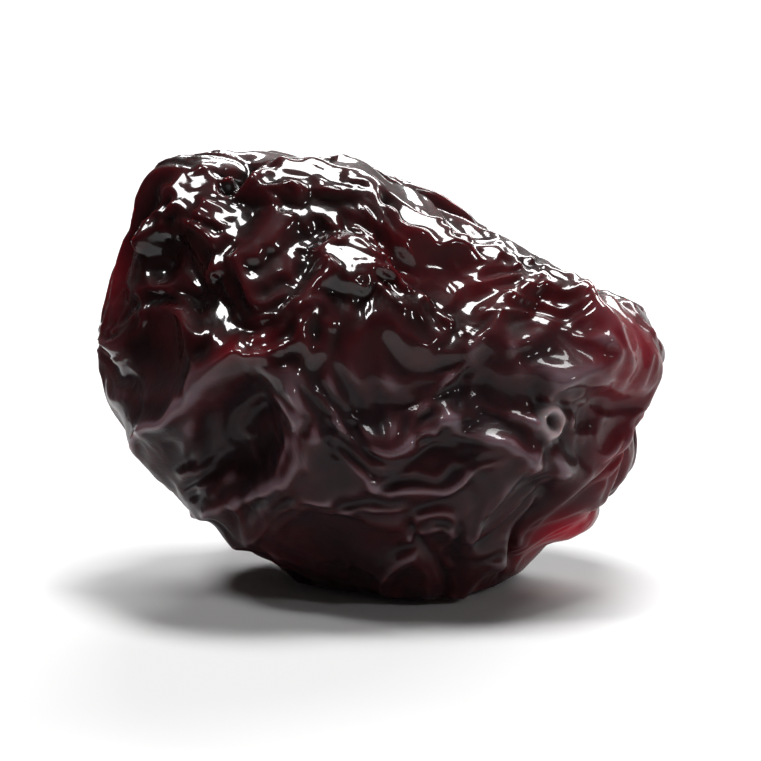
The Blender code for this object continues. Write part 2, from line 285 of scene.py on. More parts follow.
@dataclass(frozen=True)
class SmoothBody:
    """The fruit under its wrinkles: an outline in the face's plane, domed to the front and back."""

    half_length: float = 9.65
    half_depth: float = 6.6
    shoulder: float = 0.92
    dome: float = 0.96
    rim_least: float = 0.1
    normal_step: float = 0.04
    near_pole: float = 0.9
    outline: tuple[tuple[float, float], ...] = (
        (4, 0.99), (15, 0.93), (24, 0.76), (34, 0.67), (47, 0.62), (61, 0.61), (78, 0.66), (98, 0.75),
        (113, 0.85), (126, 0.98), (136, 1.05), (146, 1.00), (159, 0.96), (171, 0.96), (182, 0.96),
        (193, 0.89), (206, 0.83), (221, 0.77), (239, 0.72), (257, 0.73), (273, 0.77), (287, 0.82),
        (301, 0.81), (315, 0.81), (329, 0.88), (343, 0.92), (354, 0.89),
    )

    def radius(self, turn: np.ndarray) -> np.ndarray:
        """Reads the outline's radius, in the directions turn round from the right.

        Formula: a closed curve of cubic pieces through the outline's values. Each piece leaves and meets
        its ends at the slope between the two neighbours of that end (a Catmull-Rom).

        Args:
            turn: Directions in radians.

        Returns:
            The outline's radius there, in millimetres.
        """
        degrees, shares = np.array(self.outline, float).T
        angles = np.radians(degrees)
        whole = 2 * np.pi
        angle = np.concatenate([[angles[-1] - whole], angles, [angles[0] + whole, angles[1] + whole]])
        value = np.concatenate([[shares[-1]], shares, [shares[0], shares[1]]])
        at = np.mod(turn - angles[0], whole) + angles[0]
        k = np.clip(np.searchsorted(angle, at, side="right") - 1, 1, len(angles))
        width = angle[k + 1] - angle[k]
        t = (at - angle[k]) / width
        leave = (value[k + 1] - value[k - 1]) / (angle[k + 1] - angle[k - 1]) * width
        meet = (value[k + 2] - value[k]) / (angle[k + 2] - angle[k]) * width
        share = (2 * t**3 - 3 * t**2 + 1) * value[k] + (t**3 - 2 * t**2 + t) * leave
        share += (3 * t**2 - 2 * t**3) * value[k + 1] + (t**3 - t**2) * meet
        return self.half_length * share

    def surface(self, directions: np.ndarray) -> np.ndarray:
        """Gives the body's point in each direction from its middle.

        Formula: in the face's plane the outline's radius times a power of the direction's reach there,
        and in depth the half depth times a power of the direction's Y.

        Args:
            directions: Unit directions.

        Returns:
            Points in the facing frame.
        """
        across, away, up = directions.T
        turn = np.arctan2(up, across)
        reach = self.radius(turn) * np.hypot(across, up) ** self.shoulder
        depth = self.half_depth * np.sign(away) * np.abs(away) ** self.dome
        return np.stack([reach * np.cos(turn), depth, reach * np.sin(turn)], axis=1)

    def normals(self, directions: np.ndarray) -> np.ndarray:
        """Gives the body's outward directions: the cross product of two small steps over it.

        Args:
            directions: Unit directions from the body's middle.

        Returns:
            Unit vectors that stand on the body.
        """
        near_pole = np.abs(directions[:, 1:2]) > self.near_pole
        helper = np.where(near_pole, np.array([[1.0, 0, 0]]), np.array([[0, 1.0, 0]]))
        beside = unit(np.cross(helper, directions)) * self.normal_step
        above = np.cross(directions, beside)
        first = self.surface(unit(directions + beside)) - self.surface(unit(directions - beside))
        second = self.surface(unit(directions + above)) - self.surface(unit(directions - above))
        return unit(np.cross(first, second))

    def on_face(self, across: float, up: float, side: Side = Side.FRONT) -> np.ndarray:
        """Finds the body's point over a place of the face.

        Args:
            across: How far right of the middle, in millimetres.
            up: How far above the middle.
            side: The front or the back.

        Returns:
            One point.
        """
        share = math.hypot(across, up) / self.radius(np.array([math.atan2(up, across)]))[0]
        away = math.sqrt(max(1 - share ** (2 / self.shoulder), self.rim_least**2))
        return np.array([across, side.value * self.half_depth * away**self.dome, up])


@dataclass(frozen=True)
class Folds:
    """The main forms of the skin, as the solid has them: bowls, ridges, folds, terraces and the scar."""

    body: SmoothBody
    bowls: tuple[Bowl, ...] = (
        Bowl(-4.5, -1.7, 2.1, 0.90),
        Bowl(-0.7, 0.3, 1.6, 0.45, 1.4, 60),
        Bowl(3.3, 0.2, 2.2, 0.55, 1.5, -15),
        Bowl(2.0, -2.7, 1.7, 0.35, 1.6, 5),
        Bowl(6.2, 1.3, 1.4, 0.60, 1.2, 80),
        Bowl(6.9, -1.2, 1.4, 0.55, 1.3, 40),
        Bowl(1.9, 3.3, 1.4, 0.55, 2.8, -28),
        Bowl(-4.4, 7.0, 1.1, 0.60),
        Bowl(-2.3, 3.9, 1.4, 0.50, 1.5, 60),
        Bowl(-6.8, 3.0, 1.7, 0.55, 1.2, 20),
        Bowl(-5.2, 5.3, 1.3, 0.50, 1.2),
        Bowl(1.0, -5.6, 2.4, 0.40, 1.6),
        Bowl(-5.8, -4.9, 2.2, 0.40, 1.6, -50),
        Bowl(7.4, -3.6, 1.5, 0.50, 1.2, 50),
        Bowl(-8.3, 0.4, 1.5, 0.45, 1.5, 80),
        Bowl(-3.0, 1.5, 3.6, 1.50, 1.4, 25, Side.BACK),
        Bowl(4.6, -0.5, 2.8, 1.00, 1.3, -40, Side.BACK),
    )
    bowl_rim: float = 0.12
    bowl_reach: float = 1.15
    small_bowls: int = 26
    small_bowl_seed: int = 5
    small_bowl_stray: float = 0.12
    small_bowl_radius: tuple[float, float] = (1.5, 2.6)
    small_bowl_depth_share: tuple[float, float] = (0.22, 0.36)
    small_bowl_stretch: float = 0.5
    small_bowls_behind: float = 1.0
    ring_place: tuple[float, float] = (-4.45, -1.6)
    ring_radius: float = 2.05
    ring_height: float = 0.62
    ridges: tuple[Ridge, ...] = (
        Ridge(0.65, ((-3.4, 6.2), (-0.7, 6.2), (1.4, 5.2), (4.4, 3.6), (7.1, 2.4))),
        Ridge(0.35, ((-6.2, 1.0), (-4.6, 1.2), (-3.0, 1.6), (-1.9, 2.5), (0.0, 2.7))),
        Ridge(0.50, ((-0.6, -2.3), (0.7, -3.4), (2.1, -3.7), (3.6, -3.5), (4.7, -2.9), (5.3, -2.2))),
        Ridge(0.35, ((0.1, -0.6), (1.5, -1.0), (2.8, -1.6), (3.9, -2.1))),
        Ridge(0.30, ((-0.9, -0.2), (0.2, -1.7), (1.7, -2.5), (3.5, -2.6), (4.9, -1.5))),
        Ridge(0.35, ((-2.6, 1.0), (-1.9, -0.7), (-1.6, -1.8), (-2.3, -3.1))),
        Ridge(0.30, ((-0.9, 1.2), (0.8, 1.6), (2.3, 1.4), (4.0, 1.9), (5.6, 2.4))),
        Ridge(0.50, ((5.6, 2.4), (6.9, 2.1), (7.4, 1.1), (6.7, -0.1), (5.4, -1.2), (4.8, -2.4))),
        Ridge(0.40, ((-2.4, -3.3), (-3.4, -4.6), (-4.9, -5.3))),
        Ridge(0.35, ((-2.2, -3.4), (-0.6, -4.6), (1.4, -5.0), (3.4, -4.9))),
        Ridge(0.35, ((6.9, -0.3), (8.2, -0.4))),
        Ridge(0.40, ((-7.2, 6.3), (-7.5, 5.0), (-8.2, 3.2), (-8.7, 1.6))),
        Ridge(0.35, ((-5.9, 6.6), (-4.9, 4.6), (-3.9, 3.2), (-3.4, 1.9))),
        Ridge(-0.60, ((5.3, -3.7), (5.4, -4.9), (5.3, -6.3))),
        Ridge(-0.60, ((-4.5, 7.7), (-4.3, 6.4))),
    )
    ridge_profile: RidgeProfile = RidgeProfile(0.15, 0.55)
    face_edge: float = -1.6
    face_edge_blur: float = 0.70
    face_folding: float = 0.55
    tallest: float = 0.70
    tallest_blur: float = 0.10
    scar_place: tuple[float, float] = (5.7, -1.8)
    scar_radius: float = 0.7
    scar_depth: float = 0.65
    pleats: int = 5
    pleat_ring: float = 1.4
    pleat_reach: float = 0.9
    pleat_height: float = 0.22
    pleat_crest: float = 0.15
    pleat_level: float = 0.40
    pleat_stray: float = 0.5
    pleat_waves: Waves = Waves(5.0, 121)
    fold_waves: Waves = Waves(4.0, 51)
    plump_waves: Waves = Waves(11.0, 33)
    large_meander: Meander = Meander(7.0, 0.50, 11)
    small_meander: Meander = Meander(3.2, 0.22, 21)
    fold_meander: Meander = Meander(3.4, 0.30, 41)
    fold_grain: Grain = Grain(1.7, -18)
    fold_height: float = 0.34
    shrunk_crest: float = 0.20
    shrunk_level: float = 0.30
    swollen_crease: float = 0.26
    swollen_level: float = 0.35
    plump_edge: float = 2.0
    plump_middle: float = -1.0
    plump_rise_right: float = 0.12
    plump_rise_down: float = 0.08
    crumple_place: tuple[float, float, float] = (-5.4, -4.5, 4.2)
    crumple_reach: float = 3.2
    crumple_waves: Waves = Waves(2.2, 81)
    crumple_height: float = 0.20
    terrace_step: float = 0.5
    terrace_height: float = 0.10
    terrace_stray: float = 0.5
    terrace_crest: float = 0.15
    terrace_level: float = 0.4
    terrace_waves: Waves = Waves(3.6, 61)

    def loose(self, points: np.ndarray) -> np.ndarray:
        """Returns the points bent by the two meanders that all main forms follow."""
        return self.small_meander.bend(self.large_meander.bend(points))

    def in_front(self, points: np.ndarray) -> np.ndarray:
        """Returns 1 on the face and 0 on the sides and back: a logistic step in depth."""
        return 1 / (1 + np.exp((points[:, 1] - self.face_edge) / self.face_edge_blur))

    def in_crumple(self, points: np.ndarray) -> np.ndarray:
        """Returns 1 in the crumpled part at the upper left, falling away as a bell curve."""
        aside = ((points - np.array(self.crumple_place)) ** 2).sum(axis=1)
        return np.exp(-aside / self.crumple_reach**2)

    def pressed_bowls(self, points: np.ndarray) -> np.ndarray:
        """Gives how far the stated bowls press the skin in.

        Formula: minus the depth times (1 minus the squared distance in radii), cut off softly at the rim.

        Args:
            points: Points in the facing frame.

        Returns:
            Heights below zero in the bowls.
        """
        height = np.zeros(len(points))
        for bowl in self.bowls:
            from_middle = points - self.body.on_face(bowl.across, bowl.up, bowl.side)
            along, beside = turned(from_middle, bowl.turn_deg)
            spread = (along / bowl.stretch) ** 2 + beside**2 + (from_middle[:, 1] / self.bowl_reach) ** 2
            height -= bowl.depth * soft_step_up(1 - spread / bowl.radius**2, self.bowl_rim)
        return height

    def scattered_bowls(self, points: np.ndarray) -> np.ndarray:
        """Gives the small bowls of the sides and the back: middles along a golden spiral, a little astray.

        Args:
            points: Points in the facing frame.

        Returns:
            Heights below zero in the bowls.
        """
        draw = np.random.default_rng(self.small_bowl_seed)
        step = np.arange(self.small_bowls) + 0.5
        level = 1 - 2 * step / self.small_bowls
        ring = np.sqrt(1 - level**2)
        turn = step * np.pi * (1 + 5**0.5)
        directions = np.stack([ring * np.cos(turn), level, ring * np.sin(turn)], axis=1)
        directions = unit(directions + draw.normal(scale=self.small_bowl_stray, size=directions.shape))
        radii = draw.uniform(*self.small_bowl_radius, self.small_bowls)
        depths = radii * draw.uniform(*self.small_bowl_depth_share, self.small_bowls)
        long_ways = unit(draw.normal(size=directions.shape))
        height = np.zeros(len(points))
        for middle, radius, depth, long_way in zip(self.body.surface(directions), radii, depths, long_ways):
            if middle[1] < self.small_bowls_behind:
                continue
            from_middle = points - middle
            spread = (from_middle**2).sum(axis=1) - self.small_bowl_stretch * (from_middle @ long_way) ** 2
            height -= depth * soft_step_up(1 - spread / radius**2, self.bowl_rim)
        return height

    def face_ridges(self, points: np.ndarray) -> np.ndarray:
        """Gives how far the ring round the left bowl and the face's ridges stand up.

        Args:
            points: Points in the facing frame.

        Returns:
            Heights, faded out towards the sides.
        """
        aside = np.linalg.norm(points[:, [0, 2]] - np.array(self.ring_place), axis=1) - self.ring_radius
        height = self.ring_height * self.ridge_profile.rise(aside)
        for ridge in self.ridges:
            height += ridge.height * self.ridge_profile.rise(ridge.aside(points))
        return height * self.in_front(points)

    def stem_scar(self, points: np.ndarray) -> np.ndarray:
        """Gives the scar: a bell-shaped pit, and crests of a sine round it, within a ring.

        Args:
            points: Points of the smooth body.

        Returns:
            Heights, below zero in the pit.
        """
        from_scar = points - self.body.on_face(*self.scar_place)
        distance = np.linalg.norm(from_scar, axis=1)
        turn = np.arctan2(from_scar[:, 2], from_scar[:, 0])
        wave = np.sin(self.pleats / 2 * turn + self.pleat_stray * self.pleat_waves.at(points))
        pleats = self.pleat_height * (crest(wave, self.pleat_crest) - self.pleat_level)
        pit = -self.scar_depth * np.exp(-((distance / self.scar_radius) ** 2))
        return pit + pleats * np.exp(-(((distance - self.pleat_ring) / self.pleat_reach) ** 2))

    def plumpness(self, points: np.ndarray) -> np.ndarray:
        """Tells plump skin from shrunk skin: a soft step in a slow field that leans down to the right.

        Args:
            points: Points of the smooth body.

        Returns:
            0 where the skin has shrunk, to 1 where it is plump.
        """
        lean = self.plump_rise_right * (points[:, 0] - self.plump_middle)
        lean = lean - self.plump_rise_down * points[:, 2]
        return 0.5 + 0.5 * np.tanh(self.plump_edge * (self.plump_waves.at(points) + lean))

    def folded(self, values: np.ndarray, plump: np.ndarray) -> np.ndarray:
        """Folds a field: crests between hollows on shrunk skin, creases between swellings on plump skin.

        Args:
            values: The field.
            plump: 0 on shrunk skin, to 1 on plump skin.

        Returns:
            The folded field, about -0.7 to 0.8.
        """
        shrunk = crest(values, self.shrunk_crest) - self.shrunk_level
        swollen = self.swollen_level - crest(values, self.swollen_crease)
        return shrunk * (1 - plump) + swollen * plump

    def relief(self, points: np.ndarray) -> np.ndarray:
        """Gives how far the main forms move the skin out from the body.

        Formula: the bowls, terraces that run round them, the scar, and the sum of folds and ridges, which
        is cut off softly at the tallest height.

        Args:
            points: Points of the smooth body.

        Returns:
            Heights in millimetres.
        """
        loose = self.loose(points)
        bowls = self.pressed_bowls(loose) + self.scattered_bowls(loose)
        grain = self.fold_grain.squeeze(self.fold_meander.bend(loose))
        plump = self.plumpness(points)
        quiet = 1 - (1 - self.face_folding) * self.in_front(points)
        standing = self.fold_height * quiet * self.folded(self.fold_waves.at(grain), plump)
        crumple = self.folded(self.crumple_waves.at(grain), plump)
        standing += self.crumple_height * self.in_crumple(points) * crumple
        standing += self.face_ridges(loose)
        capped = self.tallest - soft_step_up(self.tallest - standing, self.tallest_blur)
        rounds = bowls / self.terrace_step + self.terrace_stray * self.terrace_waves.at(grain)
        terraces = crest(np.sin(np.pi * rounds), self.terrace_crest) - self.terrace_level
        return bowls + self.terrace_height * terraces + capped + self.stem_scar(points)


@dataclass(frozen=True)
class Wrinkles:
    """The fine relief on the main forms: thin veins, the stem's callus, crinkles and tiny creases."""

    folds: Folds
    vein_profile: RidgeProfile = RidgeProfile(0.09, 0.22)
    vein_meander: Meander = Meander(1.3, 0.07, 141)
    veins: tuple[Ridge, ...] = (
        Ridge(0.30, ((-2.6, 1.3), (-2.2, 1.7), (-1.6, 1.5), (-1.5, 0.9), (-2.1, 0.6), (-2.6, 1.3))),
        Ridge(0.28, ((-6.6, -1.2), (-5.8, -0.1), (-5.1, 0.6), (-3.9, 0.7), (-2.9, 0.9))),
        Ridge(0.24, ((-2.7, 0.1), (-2.2, -0.2), (-1.5, -0.4), (-1.0, -0.9), (-0.9, -1.7), (-0.4, -2.5))),
        Ridge(0.22, ((-2.4, -0.6), (-1.9, -1.0), (-1.7, -1.8), (-2.0, -2.6))),
        Ridge(0.20, ((-1.0, 1.7), (0.0, 1.5), (1.4, 1.5), (2.7, 2.2))),
        Ridge(0.20, ((-1.0, 0.9), (0.3, 1.0), (1.5, 0.8), (2.0, 0.4))),
        Ridge(0.26, ((-1.3, 0.4), (0.1, 0.0), (1.7, -0.1), (2.9, 0.5), (3.8, 1.2), (4.4, 1.4))),
        Ridge(0.20, ((0.0, -0.4), (0.7, -0.9), (1.5, -1.3), (2.4, -1.7), (3.3, -2.0), (3.9, -2.4))),
        Ridge(0.22, ((2.0, -1.5), (2.9, -1.0), (3.8, -0.8), (4.8, -1.2))),
        Ridge(0.20, ((-0.9, -0.5), (-0.3, -1.2), (-0.1, -2.1), (0.1, -2.8))),
        Ridge(0.22, ((0.3, -2.3), (1.5, -2.8), (2.9, -3.0), (3.9, -2.7))),
        Ridge(0.26, ((-0.2, -2.9), (0.9, -3.4), (2.6, -3.6), (3.6, -3.2), (4.4, -2.6))),
        Ridge(0.26, ((5.0, 0.7), (6.2, 1.1), (7.1, 1.0), (7.5, 0.5), (7.1, 0.0), (6.1, -0.3))),
        Ridge(0.26, ((6.1, -0.3), (5.5, -0.8), (5.2, -1.7))),
        Ridge(0.20, ((7.0, 2.0), (7.7, 1.3), (8.1, 0.3), (7.9, -0.6))),
        Ridge(0.24, ((6.6, -1.1), (7.8, -1.1), (8.5, -1.4))),
        Ridge(0.20, ((7.4, -1.3), (7.2, -2.4), (7.1, -3.8))),
        Ridge(0.28, ((-1.5, -3.8), (-2.2, -4.4), (-3.1, -4.8), (-4.3, -5.1))),
        Ridge(0.22, ((-2.0, -4.7), (-3.0, -5.4), (-4.2, -5.7))),
        Ridge(0.22, ((-1.3, -4.6), (-0.4, -4.1), (0.5, -4.2))),
        Ridge(0.24, ((0.3, -6.0), (1.7, -5.9), (2.9, -5.6), (3.8, -4.8), (3.9, -4.1))),
        Ridge(0.20, ((-2.8, 5.4), (-1.4, 5.5), (0.2, 5.0), (1.8, 4.2))),
        Ridge(0.22, ((-1.0, 4.6), (0.2, 3.8), (1.0, 2.7), (1.2, 2.0))),
        Ridge(0.18, ((-2.7, 4.0), (-1.7, 3.3), (-1.2, 2.6))),
        Ridge(0.16, ((-4.2, 3.4), (-3.3, 2.8), (-2.7, 1.9))),
        Ridge(0.14, ((2.2, 2.7), (3.6, 2.9), (5.0, 2.7))),
    )
    rings: tuple[tuple[float, float], ...] = ((2.20, 0.26), (1.55, 0.22))
    scar_place: tuple[float, float] = (5.6, -1.4)
    scar_radius: float = 0.35
    scar_width: float = 0.17
    scar_height: float = 0.34
    scar_pit_radius: float = 0.20
    scar_pit_depth: float = 0.20
    crinkle_grain: Grain = Grain(1.5, -10)
    crinkle_meander: Meander = Meander(1.6, 0.16, 71)
    crinkle_waves: Waves = Waves(2.0, 181)
    crinkle_places: Waves = Waves(5.0, 35)
    crinkle_height: float = 0.10
    crinkle_extra: float = 0.04
    crinkle_least: float = 0.3
    places_edge: float = 1.6
    tiny_meander: Meander = Meander(0.9, 0.08, 91)
    tiny_waves: Waves = Waves(0.95, 101, 20)
    tiny_places: Waves = Waves(4.0, 111)
    tiny_crest: float = 0.16
    tiny_level: float = 0.3
    tiny_height: float = 0.010
    tiny_in_places: float = 0.022
    tiny_extra: float = 0.020

    def in_places(self, waves: Waves, points: np.ndarray) -> np.ndarray:
        """Returns 0 in the troughs of a slow field and 1 on its swells, with a soft step between."""
        return 0.5 + 0.5 * np.tanh(self.places_edge * waves.at(points))

    def face_veins(self, points: np.ndarray) -> np.ndarray:
        """Gives the thin raised lines of the face, and the rings in the left bowl.

        Args:
            points: Points in the facing frame.

        Returns:
            Heights, faded out towards the sides.
        """
        bent = self.vein_meander.bend(points)
        from_ring = np.linalg.norm(bent[:, [0, 2]] - np.array(self.folds.ring_place), axis=1)
        height = np.zeros(len(points))
        for radius, ring_height in self.rings:
            height += ring_height * self.vein_profile.rise(from_ring - radius)
        for vein in self.veins:
            height += vein.height * self.vein_profile.rise(vein.aside(bent))
        return height * self.folds.in_front(points)

    def scar_ring(self, points: np.ndarray) -> np.ndarray:
        """Gives the callus where the stem sat: a bell-shaped ring round a bell-shaped pit.

        Args:
            points: Points of the smooth body.

        Returns:
            Heights, below zero in the pit.
        """
        distance = self.from_scar(points)
        pit = self.scar_pit_depth * np.exp(-((distance / self.scar_pit_radius) ** 2))
        return self.scar_height * self.callus(points) - pit

    def from_scar(self, points: np.ndarray) -> np.ndarray:
        """Returns how far the points lie from the scar's middle."""
        return np.linalg.norm(points - self.folds.body.on_face(*self.scar_place), axis=1)

    def callus(self, points: np.ndarray) -> np.ndarray:
        """Returns 1 along the crest of the callus, falling away on both sides as a bell curve."""
        return np.exp(-(((self.from_scar(points) - self.scar_radius) / self.scar_width) ** 2))

    def relief(self, points: np.ndarray) -> np.ndarray:
        """Gives the fine relief.

        Formula: veins, plus crests of a field of 2 mm waves, plus crests of a field of 1 mm waves, both
        stronger in some places and strongest in the crumpled part.

        Args:
            points: Points of the smooth body.

        Returns:
            Heights in millimetres.
        """
        loose = self.folds.loose(points)
        wandering = self.folds.fold_meander.bend(loose)
        crumple = self.folds.in_crumple(points)
        plump = self.folds.plumpness(points)
        run = self.crinkle_meander.bend(self.crinkle_grain.squeeze(wandering))
        crinkles = self.folds.folded(self.crinkle_waves.at(run), plump)
        some = self.crinkle_least + (1 - self.crinkle_least) * self.in_places(self.crinkle_places, points)
        crinkles *= (self.crinkle_height + self.crinkle_extra * crumple) * some
        tiny_run = self.tiny_meander.bend(wandering)
        tiny = crest(self.tiny_waves.at(tiny_run), self.tiny_crest) - self.tiny_level
        some = self.in_places(self.tiny_places, points)
        tiny *= self.tiny_height + self.tiny_in_places * some + self.tiny_extra * crumple
        return crinkles + tiny + self.face_veins(loose)


@dataclass(frozen=True)
class PressedSpot:
    """A small flat place, pressed while the fruit was soft: its middle, its reach, and how it faces."""

    across: float
    up: float
    reach: float
    stretch: float = 1.0
    turn_deg: float = 0.0
    looks_up_deg: float = 42.0
    looks_left_deg: float = -4.0

    def facing(self) -> np.ndarray:
        """Returns the flat's outward direction in the facing frame."""
        up, left = math.radians(self.looks_up_deg), math.radians(self.looks_left_deg)
        return np.array([-math.sin(left) * math.cos(up), -math.cos(left) * math.cos(up), math.sin(up)])


@dataclass(frozen=True)
class PressedSpots:
    """The flats of the upper face, which catch the large broken lights, and the one of the stem's scar."""

    body: SmoothBody
    spots: tuple[PressedSpot, ...] = (
        PressedSpot(-6.2, 6.3, 0.85, 1.4, 10, 32.0, 18.0),
        PressedSpot(-2.5, 6.5, 0.72, 1.9, -10),
        PressedSpot(-2.1, 5.6, 0.50, 2.6, -4),
        PressedSpot(-0.9, 4.0, 0.75, 1.7, -60),
        PressedSpot(0.9, 2.7, 0.30, 2.4, -25),
        PressedSpot(-3.3, 3.7, 0.60, 1.1, 40, 32.0, 18.0),
        PressedSpot(-5.2, 4.1, 0.35, 2.2, 50, 32.0, 18.0),
        PressedSpot(-5.1, 1.9, 0.45, 1.5, -40, 32.0, 18.0),
        PressedSpot(-7.3, 5.1, 0.30, 1.8, 70, 32.0, 18.0),
        PressedSpot(-1.3, 2.3, 0.25, 1.8, 20),
        PressedSpot(1.4, 5.0, 0.60, 2.0, -30),
        PressedSpot(3.2, 4.1, 0.35, 2.4, -28),
        PressedSpot(5.4, 3.0, 0.25, 2.6, -26),
        PressedSpot(5.6, -1.4, 0.65, 1.0, 0, 12.0, -25.0),
    )
    edge: float = 0.10
    edge_stray: float = 0.12
    edge_waves: Waves = Waves(1.0, 211)
    least_facing: float = 0.3
    quieter: float = 0.75

    def press(
        self, points: np.ndarray, normals: np.ndarray, height: np.ndarray
    ) -> tuple[np.ndarray, np.ndarray]:
        """Moves the skin to a plane in each spot, through the middle of the skin that lies there.

        Formula: the height along the normal at which the plane is met, mixed in by a logistic step at
        the spot's reach.

        Args:
            points: Points of the smooth body.
            normals: Its outward directions.
            height: How far the skin stands off it.

        Returns:
            The new heights, and how much of its fine wrinkles each point keeps.
        """
        keep = np.ones(len(points))
        stray = self.edge_stray * self.edge_waves.at(points)
        for spot in self.spots:
            from_middle = points - self.body.on_face(spot.across, spot.up)
            along, beside = turned(from_middle, spot.turn_deg)
            aside = np.sqrt((along / spot.stretch) ** 2 + beside**2 + from_middle[:, 1] ** 2) + stray
            inside = 0.5 - 0.5 * np.tanh((aside - spot.reach) / (2 * self.edge))
            skin = points + normals * height[:, None]
            middle = (skin * inside[:, None]).sum(axis=0) / inside.sum()
            facing = spot.facing()
            towards = normals @ facing
            met = ((middle - points) @ facing) / np.maximum(towards, self.least_facing)
            inside = np.where(towards > self.least_facing, inside, 0)
            height = height + (met - height) * inside
            keep = np.minimum(keep, 1 - self.quieter * inside)
        return height, keep


@dataclass(frozen=True)
class CubeGrid:
    """A cube's surface as a grid of squares, wrapped on a sphere so that the squares stay even."""

    count: int

    def lattice(self) -> tuple[np.ndarray, np.ndarray]:
        """Builds the grid, with the six faces welded at the cube's edges.

        Returns:
            The whole-number lattice points, and the squares as rows of four point numbers that run
            anticlockwise as seen from outside.
        """
        step = np.arange(self.count + 1)
        first, second = np.meshgrid(step, step, indexing="ij")
        corner = first[:-1, :-1] * (self.count + 1) + second[:-1, :-1]
        outward = np.stack([corner, corner + self.count + 1, corner + self.count + 2, corner + 1], axis=-1)
        outward = outward.reshape(-1, 4)
        points, squares = [], []
        for axis in range(3):
            for level in (0, self.count):
                face = np.empty(first.shape + (3,), int)
                face[..., axis] = level
                face[..., (axis + 1) % 3] = first
                face[..., (axis + 2) % 3] = second
                squares.append((outward if level else outward[:, ::-1]) + len(points) * first.size)
                points.append(face.reshape(-1, 3))
        merged, number = np.unique(np.concatenate(points), axis=0, return_inverse=True)
        return merged, number.reshape(-1)[np.concatenate(squares)]

    def directions(self, lattice: np.ndarray) -> np.ndarray:
        """Returns each lattice point as a unit direction: the tangent of its share of 45 degrees."""
        return unit(np.tan((2 * lattice / self.count - 1) * np.pi / 4))


@dataclass(frozen=True)
class PaintedGlowSpot:
    """A place of the face painted deep red, as painted light let through the flesh, in millimetres, and how
    strongly.
    """

    across: float
    up: float
    reach: float
    strength: float


